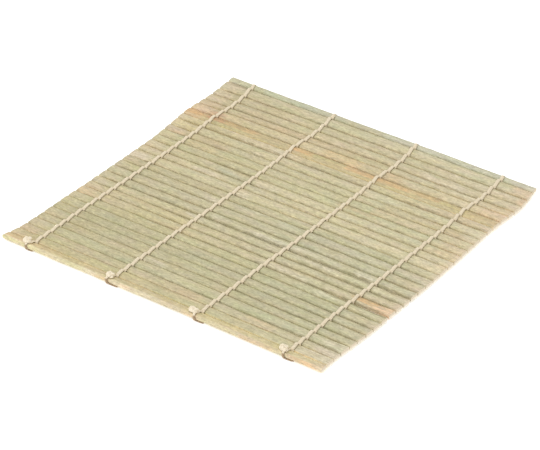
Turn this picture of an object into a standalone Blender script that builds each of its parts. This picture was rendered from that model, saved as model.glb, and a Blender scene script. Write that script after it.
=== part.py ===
"""A bamboo steamer mat: split-bamboo slats held side by side by four doubled cotton twines.

The slats lie along X. The far edge is at +Y and the near edge, where the twines are knotted, is
at -Y. The mat lies flat on z = 0, on the undersides of its twines, with its middle over the origin.
Each slat's object has its origin on the line about which it bends against the slat before it.
"""

import math
import random

import bmesh
import bpy
import numpy as np
from mathutils import Vector

MM = 0.001

# Slats, counted from the far edge, at which y is highest
SLAT_COUNT = 31
SLAT_LENGTH = 254.5 * MM
SAW_WANDER = 0.4 * MM
SAW_SEED = 5
MAT_DEPTH = 246.4 * MM
SLAT_THICKNESS = 3.0 * MM
SLAT_GAP = 1.3 * MM
EDGE_ROUNDING = 0.9 * MM
# The splints are split by hand, so each has its own width. With the gaps, these widths make up
# the mat's depth; at another depth they are wider or narrower together.
SLAT_WIDTHS_MM = (
    5.5, 8.8, 7.3, 7.4, 5.4, 7.5, 7.2, 5.8, 7.9, 6.0, 6.6, 6.3, 7.1, 5.9, 8.2, 6.0,
    6.9, 7.4, 6.9, 6.7, 6.1, 6.8, 6.3, 7.0, 6.3, 7.2, 6.0, 7.3, 6.1, 6.2, 5.3,
)
STAINED_SLAT = 7
# Neither side is sawn along one straight line: the ends stand out this much more than half the
# slats' length, at these shares of the mat's depth from the far edge
SAWN_AT = (0.01, 0.1, 0.21, 0.3, 0.4, 0.55, 0.8, 0.94, 0.99)
LEFT_ENDS_OUT_MM = (2.4, 0.5, 2.5, 0.1, -1.7, -1.4, -0.3, 0.4, 3.7)
RIGHT_ENDS_OUT_MM = (-1.8, 2.3, 0, 0.3, 1.1, 1, 0.1, -2.2, -2.1)

# Twines: each is one length of cotton, folded round the first slat and knotted on the last
TWINE_COUNT = 4
FIRST_TWINE_FROM_LEFT_END = 20.8 * MM
LAST_TWINE_FROM_RIGHT_END = 26.6 * MM
# No twine runs quite straight: they all lie this far to +X, at these shares of the mat's depth, and
# each also lies a little aside of its even place at the far and the near edge
SWAY_AT = (0, 0.05, 0.09, 0.14, 0.21, 0.28, 0.34, 0.47, 0.6, 0.75, 1)
SWAY_MM = (-0.8, 0.3, 1.2, 1.6, 0, 1.1, 1.3, 0.9, 0.3, -1.1, -2)
TWINES_ASIDE_MM = ((-0.5, 0.9), (-0.2, -0.4), (0.1, -0.4), (0.6, -0.1))
STRAND_WIDTH = 1.6 * MM
STRAND_SIDE_GAP = 0.25 * MM
TWINE_CLEARANCE = 0.22 * MM
KNOT_SIZE = (5.2 * MM, 4.2 * MM, 3.4 * MM)
# How far each knot's middle lies to the left of its twine
KNOTS_ASIDE_MM = (4.3, 2.3, 4, 3.2)
KNOT_FROM_EDGE = 3.2 * MM
KNOT_ENDS_APART = 1.3 * MM
# How far the strand slants along the front of the last slat, from under it up to the knot
FRONT_SLANT = 0.8 * MM
WIDEST_MITRE = 1.3
# The mat stands on its strands, which are pressed flat there by this much
PRESSED_FLAT = 0.09 * MM
# Loose ends of a tube that are closer than this are one
WELD = 0.01 * MM

# Derived heights, widths and places
TWINES_SPAN = SLAT_LENGTH - FIRST_TWINE_FROM_LEFT_END - LAST_TWINE_FROM_RIGHT_END
TWINE_SPACING = TWINES_SPAN / (TWINE_COUNT - 1)
STRAND_THICKNESS = SLAT_GAP - 2 * TWINE_CLEARANCE
STRAND_ASIDE = (STRAND_WIDTH + STRAND_SIDE_GAP) / 2
STRAND_LEVEL = SLAT_THICKNESS / 2 + TWINE_CLEARANCE + STRAND_THICKNESS / 2
SLAT_MIDDLE_Z = STRAND_LEVEL + STRAND_THICKNESS / 2 - PRESSED_FLAT
SLAT_ROUNDING = min(EDGE_ROUNDING, 0.45 * SLAT_THICKNESS)
# A strand is flattened to its width by stretching a round tube sideways
STRAND_FLATTENING = STRAND_WIDTH / STRAND_THICKNESS


def slat_widths():
    """The width of every slat, so that slats and gaps fill the mat's depth."""
    shares = [SLAT_WIDTHS_MM[slat % len(SLAT_WIDTHS_MM)] for slat in range(SLAT_COUNT)]
    bamboo = MAT_DEPTH - (SLAT_COUNT - 1) * SLAT_GAP
    return [share * bamboo / sum(shares) for share in shares]


def slat_edges():
    """The far and near Y of every slat, with the whole mat centred on y = 0."""
    edges = []
    y = MAT_DEPTH / 2
    for width in slat_widths():
        edges.append((y, y - width))
        y -= width + SLAT_GAP
    return edges


EDGES = slat_edges()
FAR_EDGE = EDGES[0][0]
NEAR_EDGE = EDGES[-1][1]


def at_depth(y, shares, values_mm):
    """A value in metres at this Y, from a table of millimetres at shares of the mat's depth."""
    return float(np.interp((FAR_EDGE - y) / MAT_DEPTH, shares, values_mm)) * MM


def gap_y(gap):
    """The middle of the gap on the near side of a slat."""
    return EDGES[gap][1] - SLAT_GAP / 2


def slat_ends():
    """The left and right X of every slat, about the middle of a slat that lies straight."""
    saw = random.Random(SAW_SEED)
    ends = []
    for far, near in EDGES:
        left_out = at_depth((far + near) / 2, SAWN_AT, LEFT_ENDS_OUT_MM)
        right_out = at_depth((far + near) / 2, SAWN_AT, RIGHT_ENDS_OUT_MM)
        left = -SLAT_LENGTH / 2 - left_out + SAW_WANDER * (saw.random() - 0.5)
        right = SLAT_LENGTH / 2 + right_out + SAW_WANDER * (saw.random() - 0.5)
        ends.append((left, right))
    return ends


ENDS = slat_ends()
# The middle between the leftmost and the rightmost end goes over the origin
MIDDLE_X = (min(left for left, right in ENDS) + max(right for left, right in ENDS)) / 2


def make_material(name, colour, roughness):
    material = bpy.data.materials.new(name)
    material.use_nodes = True
    shader = material.node_tree.nodes["Principled BSDF"]
    shader.inputs["Base Color"].default_value = (*colour, 1)
    shader.inputs["Roughness"].default_value = roughness
    shader.inputs["Metallic"].default_value = 0
    material.diffuse_color = (*colour, 1)
    return material


def link(obj, material, collection):
    obj.data.materials.append(material)
    collection.objects.link(obj)
    return obj


def make_slat(slat, material, collection):
    """One splint with sawn square ends and its four long edges rounded over."""
    left, right = (x - MIDDLE_X for x in ENDS[slat])
    far, near = EDGES[slat]
    hinge_y = gap_y(slat) if slat < SLAT_COUNT - 1 else (far + near) / 2
    mesh = bpy.data.meshes.new(f"slat_{slat + 1:02d}")
    bm = bmesh.new()
    bmesh.ops.create_cube(bm, size=1)
    bmesh.ops.scale(bm, vec=(right - left, far - near, SLAT_THICKNESS), verts=bm.verts)
    shift = ((left + right) / 2, (far + near) / 2 - hinge_y, 0)
    bmesh.ops.translate(bm, vec=shift, verts=bm.verts)
    long_edges = [e for e in bm.edges if abs(e.verts[0].co.x - e.verts[1].co.x) > SLAT_THICKNESS]
    bmesh.ops.bevel(
        bm, geom=long_edges, offset=SLAT_ROUNDING, segments=2, profile=0.5, affect="EDGES"
    )
    bm.to_mesh(mesh)
    bm.free()
    mesh.shade_smooth()
    mesh.set_sharp_from_angle(angle=math.radians(50))
    obj = link(bpy.data.objects.new(mesh.name, mesh), material, collection)
    obj.location = (0, hinge_y, SLAT_MIDDLE_Z)
    return obj


def make_slats(collection):
    """All the slats, each hung on the next one nearer the knots, as they bend."""
    plain = make_material("bamboo", (0.60, 0.53, 0.33), 0.55)
    stained = make_material("bamboo_stained", (0.66, 0.44, 0.21), 0.55)
    slats = []
    for slat in range(SLAT_COUNT):
        material = stained if slat + 1 == STAINED_SLAT else plain
        slats.append(make_slat(slat, material, collection))
    for slat, carrier in zip(slats, slats[1:]):
        slat.parent = carrier
        slat.location -= carrier.location
    return slats


def shoulder():
    """How far along Y from a gap's middle a strand is level, so that it just clears the rounded edge.

    The strand leaves the gap's middle on a straight line that touches the circle which stays a
    clearance outside the rounding, and is level where that line reaches its height over the slat.
    """
    across = SLAT_GAP / 2 + SLAT_ROUNDING
    up = SLAT_THICKNESS / 2 - SLAT_ROUNDING
    keep_off = SLAT_ROUNDING + STRAND_THICKNESS / 2 + TWINE_CLEARANCE / 2
    slope = math.atan2(up, across) + math.asin(min(1, keep_off / math.hypot(across, up)))
    return max(STRAND_LEVEL / math.tan(slope), 0)


SHOULDER = shoulder()


def twine_x(twine, y):
    """The middle line of a twine at this Y."""
    first = -SLAT_LENGTH / 2 + FIRST_TWINE_FROM_LEFT_END - MIDDLE_X
    aside = at_depth(y, (0, 1), TWINES_ASIDE_MM[twine % len(TWINES_ASIDE_MM)])
    return first + twine * TWINE_SPACING + at_depth(y, SWAY_AT, SWAY_MM) + aside


def knot_centre(twine):
    x = twine_x(twine, NEAR_EDGE) - KNOTS_ASIDE_MM[twine % len(KNOTS_ASIDE_MM)] * MM
    z = SLAT_THICKNESS / 2 + TWINE_CLEARANCE + KNOT_SIZE[2] / 2
    return x, NEAR_EDGE + KNOT_FROM_EDGE, z


def strand_points(twine, first_side):
    """One strand from the gap behind the last slat to the far edge, with z = 0 at mid-slat.

    first_side is 1 for the strand that goes over the last slat and -1 for the one under it. The
    strands change sides in every gap, always with the same half turn, so that each stretch on top
    leans the same way.
    """
    points = []
    side = first_side
    for slat in range(SLAT_COUNT - 2, -1, -1):
        near = gap_y(slat)
        far = gap_y(slat - 1) if slat else FAR_EDGE + SLAT_GAP / 2
        points.append((twine_x(twine, near) - side * STRAND_ASIDE, near, 0))
        side = -side
        for y, lean in ((near + SHOULDER, 1), (far - SHOULDER, -1)):
            points.append((twine_x(twine, y) + side * lean * STRAND_ASIDE, y, side * STRAND_LEVEL))
    return points


def twine_points(twine):
    """The whole route: from the knot over and under to the far edge, round it, and back."""
    over = strand_points(twine, 1)
    under = strand_points(twine, -1)
    bend = (twine_x(twine, FAR_EDGE), FAR_EDGE + SLAT_GAP / 2, 0)
    front = NEAR_EDGE - SLAT_GAP / 2
    knot_x, knot_y, knot_z = knot_centre(twine)
    start = [
        (knot_x, knot_y + KNOT_ENDS_APART / 2, knot_z),
        (over[0][0], over[0][1] - SHOULDER, STRAND_LEVEL),
    ]
    finish = [
        (under[0][0], under[0][1] - SHOULDER, -STRAND_LEVEL),
        (knot_x + FRONT_SLANT, front + SHOULDER, -STRAND_LEVEL),
        (knot_x + FRONT_SLANT / 2, front, 0),
        (knot_x, front + SHOULDER, STRAND_LEVEL),
        (knot_x, knot_y - KNOT_ENDS_APART / 2, knot_z),
    ]
    return start + over + [bend] + under[::-1] + finish


def mitre(before, here, after):
    """How much wider a tube's ring is at a corner, so that the tube isn't pinched there."""
    corner = (Vector(here) - Vector(before)).angle(Vector(after) - Vector(here))
    return min(1 / math.cos(corner / 2), WIDEST_MITRE)


def press_flat(bm):
    """Cut a twine flat where it reaches down to what the mat stands on."""
    whole = bm.verts[:] + bm.edges[:] + bm.faces[:]
    cut = bmesh.ops.bisect_plane(
        bm, geom=whole, plane_co=(0, 0, -SLAT_MIDDLE_Z), plane_no=(0, 0, -1), clear_outer=True
    )
    rims = [e for e in cut["geom_cut"] if isinstance(e, bmesh.types.BMEdge)]
    bmesh.ops.holes_fill(bm, edges=rims, sides=0)


def tube_mesh(name, points):
    """A tube of the strand's thickness along the points, stretched sideways to its width."""
    curve = bpy.data.curves.new(name, "CURVE")
    curve.dimensions = "3D"
    curve.bevel_depth = STRAND_THICKNESS / 2
    curve.bevel_resolution = 1
    curve.use_fill_caps = True
    spline = curve.splines.new("POLY")
    spline.points.add(len(points) - 1)
    for spline_point, (x, y, z) in zip(spline.points, points):
        spline_point.co = (x / STRAND_FLATTENING, y, z, 1)
    for corner, *around in zip(spline.points[1:], points, points[1:], points[2:]):
        corner.radius = mitre(*around)
    holder = bpy.data.objects.new(name, curve)
    bpy.context.scene.collection.objects.link(holder)
    evaluated = holder.evaluated_get(bpy.context.evaluated_depsgraph_get())
    mesh = bpy.data.meshes.new_from_object(evaluated)
    bm = bmesh.new()
    bm.from_mesh(mesh)
    bmesh.ops.remove_doubles(bm, verts=bm.verts, dist=WELD)
    bmesh.ops.scale(bm, vec=(STRAND_FLATTENING, 1, 1), verts=bm.verts)
    press_flat(bm)
    bmesh.ops.recalc_face_normals(bm, faces=bm.faces)
    bm.to_mesh(mesh)
    bm.free()
    bpy.data.objects.remove(holder)
    bpy.data.curves.remove(curve)
    return mesh


def make_knot_cutter(twine, collection):
    """The lump of an overhand knot, which is joined to its twine."""
    mesh = bpy.data.meshes.new(f"knot_{twine + 1}")
    bm = bmesh.new()
    bmesh.ops.create_uvsphere(bm, u_segments=10, v_segments=6, radius=0.5)
    bmesh.ops.scale(bm, vec=KNOT_SIZE, verts=bm.verts)
    bm.to_mesh(mesh)
    bm.free()
    knot = bpy.data.objects.new(mesh.name, mesh)
    knot.location = knot_centre(twine)
    knot.hide_render = True
    knot.display_type = "WIRE"
    collection.objects.link(knot)
    return knot


def make_twine(twine, last_slat, material, collection, cutters):
    """One length of twine with the knot that closes it, carried by the last slat."""
    mesh = tube_mesh(f"twine_{twine + 1}", twine_points(twine))
    mesh.shade_smooth()
    obj = link(bpy.data.objects.new(mesh.name, mesh), material, collection)
    knot = make_knot_cutter(twine, cutters)
    for piece in (obj, knot):
        piece.parent = last_slat
        piece.location.y -= last_slat.location.y
    union = obj.modifiers.new("knot", "BOOLEAN")
    union.operation = "UNION"
    union.object = knot
    return obj


def make_mat():
    for obj in list(bpy.context.scene.objects):
        bpy.data.objects.remove(obj)
    mat = bpy.data.collections.new("bamboo_steamer_mat")
    cutters = bpy.data.collections.new("cutters")
    bpy.context.scene.collection.children.link(mat)
    bpy.context.scene.collection.children.link(cutters)
    slats = make_slats(mat)
    cotton = make_material("cotton", (0.80, 0.72, 0.55), 0.9)
    for twine in range(TWINE_COUNT):
        make_twine(twine, slats[-1], cotton, mat, cutters)


make_mat()
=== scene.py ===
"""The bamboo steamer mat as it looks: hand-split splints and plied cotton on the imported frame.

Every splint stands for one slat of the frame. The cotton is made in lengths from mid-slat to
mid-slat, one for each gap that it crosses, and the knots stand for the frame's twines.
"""

import math

import bpy
import numpy as np
from mathutils import Matrix, Vector


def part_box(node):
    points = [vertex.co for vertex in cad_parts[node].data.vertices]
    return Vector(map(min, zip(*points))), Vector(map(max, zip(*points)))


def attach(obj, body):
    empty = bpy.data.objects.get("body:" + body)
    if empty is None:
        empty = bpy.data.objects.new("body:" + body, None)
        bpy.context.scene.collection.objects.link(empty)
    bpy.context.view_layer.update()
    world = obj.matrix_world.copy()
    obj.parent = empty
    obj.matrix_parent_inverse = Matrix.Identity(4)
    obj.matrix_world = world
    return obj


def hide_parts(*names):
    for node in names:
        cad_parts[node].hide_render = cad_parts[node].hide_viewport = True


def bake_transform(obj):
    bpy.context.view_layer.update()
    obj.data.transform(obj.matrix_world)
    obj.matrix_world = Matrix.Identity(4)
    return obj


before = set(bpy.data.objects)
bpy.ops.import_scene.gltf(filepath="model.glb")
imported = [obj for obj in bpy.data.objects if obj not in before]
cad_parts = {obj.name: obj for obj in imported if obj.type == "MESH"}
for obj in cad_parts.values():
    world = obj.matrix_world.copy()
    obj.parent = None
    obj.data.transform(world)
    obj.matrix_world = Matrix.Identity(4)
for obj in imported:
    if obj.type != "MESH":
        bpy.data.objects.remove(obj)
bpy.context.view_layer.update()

MM = 0.001
SLATS = 31
TWINES = 4
# Half of the mat's side, for what changes over the mat
HALF_MAT = 125 * MM
SPLINT_SEED, KNOT_SEED = 4000, 70

# The twines lie this far to +X at these shares of the mat's depth from the far edge, and each a
# little aside of its even place at the far and the near edge, as in the frame
SWAY_AT = (0, 0.05, 0.09, 0.14, 0.21, 0.28, 0.34, 0.47, 0.6, 0.75, 1)
SWAY_MM = (-0.8, 0.3, 1.2, 1.6, 0, 1.1, 1.3, 0.9, 0.3, -1.1, -2)
TWINES_ASIDE_MM = ((-0.5, 0.9), (-0.2, -0.4), (0.1, -0.4), (0.6, -0.1))
FIRST_TWINE_X = -105.9 * MM
TWINE_SPACING = 69.03 * MM
# How much further to +X each one leans where it folds round the first splint
FAR_LEAN_MM = (-1.6, -0.5, -0.9, 0.1)
FAR_LEAN_REACH = 22 * MM

# How far the splints bow towards +Y in the mat's plane, in mm, at these places, a row for each Y
BOWED_X = (-119, -90, -60, -20, 20, 55, 85, 118)
BOWED_Y = (-120, -95, -66, -39, -14, 10, 42, 75, 108, 121)
BOWS = (
    (0, 0, 0, 0, 0, -0.1, -0.1, -0.1),
    (-0.2, 0.2, 0, 0.4, 0.5, 0, -0.2, -0.7),
    (0, -0.1, 0, 0.35, 0.45, 0.3, -0.4, -1.0),
    (0, 0.3, 0, 0.15, 0.1, 0.05, 0, -0.3),
    (-0.7, -0.1, 0, 0.1, 0.35, 0.3, 0, -0.4),
    (-0.8, -0.3, -0.2, 0, 0.25, 0.5, 0.3, -0.1),
    (-0.9, -0.5, 0, 0, -0.1, 0.2, 0.4, 0.4),
    (-0.3, -0.1, 0.2, 0, 0.1, 0, 0.1, 0.1),
    (-0.6, 0, 0.25, 0.35, 0.4, 0.3, -0.4, -0.7),
    (1.0, 0.7, 0.6, 0.4, 0.35, 0.1, -0.4, -0.7),
)

# A splint's section, and how close together its rings of points stand, closer at the sawn ends
CORNER = 0.85 * MM
CROWN = 0.16 * MM
STATION = 2.0 * MM
END_STATIONS = (0, 0.3 * MM, 1.2 * MM)
# Where a twine crosses, its splint keeps its plain shape this far to both sides
TWINE_REACH = 2.4 * MM
# How unevenly the splints are split: lines that turn about every so many mm, by up to so many mm
EDGE_WANDER_MM = ((45, 0.12), (18, 0.13), (5, 0.13))
TOP_WANDER_MM = ((40, 0.07),)
UNDERSIDE_WANDER_MM = ((60, 0.05),)
RIDGE_WANDER_MM = ((28, 0.045),)
RIDGES_UNDER_TWINE = 0.3
# The saw leaves each end a little out of line, rough and not quite flat
LEFT_SHORTER = 0.2 * MM
LEFT_TIP = 0.9 * MM
SAW_ASIDE_MM = 0.12
SAW_REACH = 8 * MM
SAW_ROUGH_MM = 0.06
SAW_PROUD = (0.05 * MM, 0.04 * MM)
SAWN_RINGS = (0.9, 0.5)
# Edges that turn more than this stay sharp, on a splint and on cotton
SHARP_SPLINT, SHARP_COTTON = math.radians(55), math.radians(75)
# How far from a gap the painted shade reaches on a splint's far and near half, how dark it is
# there, and how much paler the walls of the gaps are painted, as light against their shade
PAINTED_SHADE_REACH_FAR, PAINTED_SHADE_REACH_NEAR = 3.0 * MM, 1.7 * MM
PAINTED_SHADE_AT_EDGE = 0.23
WALL_PAINTED_LIGHT = 0.18
# How far the mat folds up at these gaps, which the splints' edges leave room for
FOLD_GAPS = (2, 3, 6, 10, 20, 30)
FOLD_DEGREES = (44, 38, 33, 27, 22, 17)
FOLD_ROOM = 0.03 * MM

# How far a strand swings to each side of its twine's middle line, and how far from the middle of a
# gap the two strands pass each other
SWING = 0.66 * MM
APART = 0.32 * MM
# How a strand rounds a splint's edge: straight up this far, then in a curve, where 2 is a circle and
# more is squarer
RISE, ROUNDNESS = 0.4 * MM, 2.6
# Widths and thicknesses of a strand: on the bamboo, under it, in a gap, round the far edge and free
ON_TOP = (2.85 * MM, 1.0 * MM)
UNDER = (2.1 * MM, 0.94 * MM)
IN_GAP = (2.6 * MM, 0.66 * MM)
ROUND_EDGE = (1.9 * MM, 0.5 * MM)
ROUND_STRAND = (1.8 * MM, 1.4 * MM)
# How far inside the edge's round a far loop lies flat again, and over what height a front strand
# loses its flatness
LOOP_FLATTENS, FRONT_ROUNDS = 1.6 * MM, 1.2 * MM
# The air between cotton and bamboo, and how high the crown stands under a twine
HUG = 0.02 * MM
CROWN_UNDER_TWINE = 0.6 * CROWN
# The step between a strand's rings, one turn of its plies, and how far about a gap's middle it bends
RING_STEP = 0.36 * MM
PLY_PITCH = 4.2 * MM
# The knots lie this far to the left of their twines and behind the near edge, and the strand on top
# of the last splint leans towards them
KNOTS_ASIDE_MM = (4.3, 2.3, 4, 3.2)
KNOT_FROM_EDGE = 3.2 * MM
KNOT_HEIGHT = 1.55 * MM
LEAN_TO_KNOT = 0.4
# How far to the right of its knot each front strand comes up, and how much it slants there
FRONT_ASIDE_MM = (1.1, -0.9, 2.6, 1.5)
FRONT_SLANT = 0.5 * MM
# How far to the right of its twine it runs along the front's foot
FOOT_MM = (1.2, 4.8, 4.8, 4.8)
# A knot's wraps are a trefoil: its ring, its lobes, how it is stretched, how far it may be tipped
WRAP_RING, WRAP_LOBE = 1.36 * MM, 0.62 * MM
WRAP_STRETCH = (1.12, 0.86, 1.1)
WRAP_LONGER = 1.22
WRAP_TIP_DEGREES = 16
WRAP_YARN = (2.4 * MM, 2.2 * MM)
CORE_HALF = 1.7 * MM
CORE_YARN = (3.3 * MM, 2.9 * MM)
# Colours that are laid over the cotton, as seen, and how strongly: painted light in the gaps, a
# whiter tone at the knots, and painted shade where it goes under the mat
PAINTED_LIGHT_COTTON = ((246, 232, 204), 0.6)
KNOT_COTTON = ((252, 240, 216), 0.5)
PAINTED_SHADE_COTTON = ((160, 132, 98), 0.85)
# The first and the last begin this far above the splints, and grow over this height
PAINTED_LIGHT_FROM, PAINTED_LIGHT_FADE = 0.3 * MM, 1.2 * MM
PAINTED_SHADE_FROM, PAINTED_SHADE_FADE = 1.125 * MM, 1.1 * MM
# The two cut tails point these ways from a knot, each a little aside at random
TAIL_WAYS = ((-2.2, 0.7, -0.4), (-1.7, -0.8, 0.7))
TAIL_ASIDE = 0.25
TAIL_YARN = (1.2 * MM, 1.1 * MM)


def node_name(slat):
    return f"slat_{slat:02d}"


BOXES = {slat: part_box(node_name(slat)) for slat in range(1, SLATS + 1)}
FAR_EDGE = BOXES[1][1].y
NEAR_EDGE = BOXES[SLATS][0].y
MAT_DEPTH = FAR_EDGE - NEAR_EDGE
HALF_SLAT = (BOXES[1][1].z - BOXES[1][0].z) / 2
MID_Z = (BOXES[1][1].z + BOXES[1][0].z) / 2
HALF_GAP = (BOXES[1][0].y - BOXES[2][1].y) / 2


def twine_x(twine, y):
    """The middle line of a twine, counted from 1 at the left, at this Y."""
    share = (FAR_EDGE - y) / MAT_DEPTH
    swayed = np.interp(share, SWAY_AT, SWAY_MM) + np.interp(share, (0, 1), TWINES_ASIDE_MM[twine - 1])
    lean = FAR_LEAN_MM[twine - 1] * smooth(1 - (FAR_EDGE - y) / FAR_LEAN_REACH)
    return FIRST_TWINE_X + (twine - 1) * TWINE_SPACING + (swayed + lean) * MM


def gap_y(gap):
    """The middle of the gap on the near side of a slat; 0 is the far edge's and 31 the near's."""
    if gap == 0:
        return FAR_EDGE + HALF_GAP
    return BOXES[gap][0].y - HALF_GAP


def bow(x, y):
    """How far to +Y the splints bow at these places, given as lines of points or as numbers."""
    x, y = np.broadcast_arrays(np.atleast_1d(x), np.atleast_1d(y))
    rows = np.array([np.interp(x, np.array(BOWED_X) * MM, row) for row in BOWS])
    place = np.interp(y, np.array(BOWED_Y) * MM, np.arange(len(BOWS)))
    low = np.minimum(place.astype(int), len(BOWS) - 2)
    share, column = place - low, np.arange(len(x))
    return MM * (rows[low, column] * (1 - share) + rows[low + 1, column] * share)


def middle_y(slat):
    return (BOXES[slat][0].y + BOXES[slat][1].y) / 2


def end_line(side):
    """A smooth line through the splints' ends at the left (0) or the right (1): Y, then X."""
    at = [FAR_EDGE] + [middle_y(slat) for slat in BOXES] + [NEAR_EDGE]
    ends = np.array([box[side].x for box in BOXES.values()])
    ends[1:-1] = (ends[:-2] + 2 * ends[1:-1] + ends[2:]) / 4
    tip = LEFT_TIP if side == 0 else 0
    ends = np.concatenate((ends[:1], ends, ends[-1:] - tip))
    return np.array(at[::-1]), ends[::-1]


END_LINES = end_line(0), end_line(1)


def end_x(side, y):
    return np.interp(y, *END_LINES[side])


# Small tools


def smooth(t):
    t = np.clip(t, 0, 1)
    return t * t * (3 - 2 * t)


def wander(rng, at, length, amount):
    """A smooth random line through the places, turning about every length."""
    lo, hi = np.min(at), np.max(at)
    count = max(int((hi - lo) / length) + 4, 5)
    knots = np.linspace(lo - length, hi + length, count)
    values = rng.uniform(-1, 1, count)
    place = (at - knots[0]) / (knots[1] - knots[0])
    low = np.clip(np.floor(place).astype(int), 0, count - 2)
    return amount * (values[low] + (values[low + 1] - values[low]) * smooth(place - low))


def wandering(rng, at, lines_mm):
    """The sum of smooth random lines, each given as its length and its amount in mm."""
    return sum(wander(rng, at, length * MM, amount * MM) for length, amount in lines_mm)


def add_object(name, data):
    obj = bpy.data.objects.new(name, data)
    bpy.context.scene.collection.objects.link(obj)
    return obj


def mesh_object(name, verts, faces, smooth_faces=True):
    mesh = bpy.data.meshes.new(name)
    mesh.from_pydata([tuple(v) for v in verts], [], [tuple(f) for f in faces])
    mesh.polygons.foreach_set("use_smooth", [smooth_faces] * len(mesh.polygons))
    mesh.update()
    return add_object(name, mesh)


def put_attribute(obj, name, values):
    """Give each point of the object a number, a vector or a colour, as the values' shape says."""
    kinds = {1: ("FLOAT", "value"), 3: ("FLOAT_VECTOR", "vector"), 4: ("FLOAT_COLOR", "color")}
    kind, field = kinds[values.size // len(values)]
    attribute = obj.data.attributes.new(name, kind, "POINT")
    attribute.data.foreach_set(field, np.asarray(values, np.float32).ravel())


def loft_faces(rings, around):
    """Quads between rings of points that lie one after another."""
    faces = []
    for a in range(0, (rings - 1) * around, around):
        for i in range(around):
            j = (i + 1) % around
            faces.append((a + i, a + j, a + around + j, a + around + i))
    return faces


# Materials


# The colour sockets of a Mix node
MIX_A, MIX_B, MIX_RESULT = 6, 7, 2


class Nodes:
    """A short way to write a material's nodes."""

    def __init__(self, name):
        self.material = bpy.data.materials.new(name)
        self.material.use_nodes = True
        self.tree = self.material.node_tree

    def add(self, kind, inputs=None, **settings):
        node = self.tree.nodes.new(kind)
        for key, value in settings.items():
            setattr(node, key, value)
        for key, value in (inputs or {}).items():
            self.feed(node.inputs[key], value)
        return node

    def feed(self, socket, value):
        if isinstance(value, bpy.types.NodeSocket):
            self.tree.links.new(value, socket)
        else:
            socket.default_value = value

    def finish(self, inputs):
        """Feed the shader and return the material."""
        for key, value in inputs.items():
            self.feed(self.tree.nodes["Principled BSDF"].inputs[key], value)
        return self.material

    def attribute(self, name, output="Fac"):
        return self.add("ShaderNodeAttribute", attribute_name=name).outputs[output]

    def scaled(self, vector, scale):
        node = self.add("ShaderNodeMapping", {"Vector": vector, "Scale": scale})
        return node.outputs["Vector"]

    def noise(self, vector, scale, detail=2.0, rough=0.5):
        inputs = {"Vector": self.scaled(vector, scale), "Scale": 1.0, "Detail": detail,
                  "Roughness": rough}
        return self.add("ShaderNodeTexNoise", inputs).outputs["Fac"]

    def ramp(self, value, low=0.3, high=0.7, out_low=0.0, out_high=1.0, kind="SMOOTHSTEP"):
        inputs = {"Value": value, "From Min": low, "From Max": high, "To Min": out_low,
                  "To Max": out_high}
        return self.add("ShaderNodeMapRange", inputs, interpolation_type=kind).outputs["Result"]

    def maths(self, operation, a, b):
        node = self.add("ShaderNodeMath", {0: a, 1: b}, operation=operation)
        return node.outputs["Value"]

    def mix(self, factor, a, b, blend="MIX"):
        inputs = {"Factor": factor, MIX_A: a, MIX_B: b}
        node = self.add("ShaderNodeMix", inputs, data_type="RGBA", blend_type=blend)
        return node.outputs[MIX_RESULT]

    def bump(self, height, strength, distance):
        inputs = {"Height": height, "Strength": strength, "Distance": distance}
        return self.add("ShaderNodeBump", inputs).outputs["Normal"]


def linear(red, green, blue):
    """A colour as it is seen on a screen, from 0 to 255, as Blender's linear colour."""
    def one(c):
        c /= 255
        return c / 12.92 if c <= 0.04045 else ((c + 0.055) / 1.055) ** 2.4
    return (one(red), one(green), one(blue), 1.0)


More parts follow.
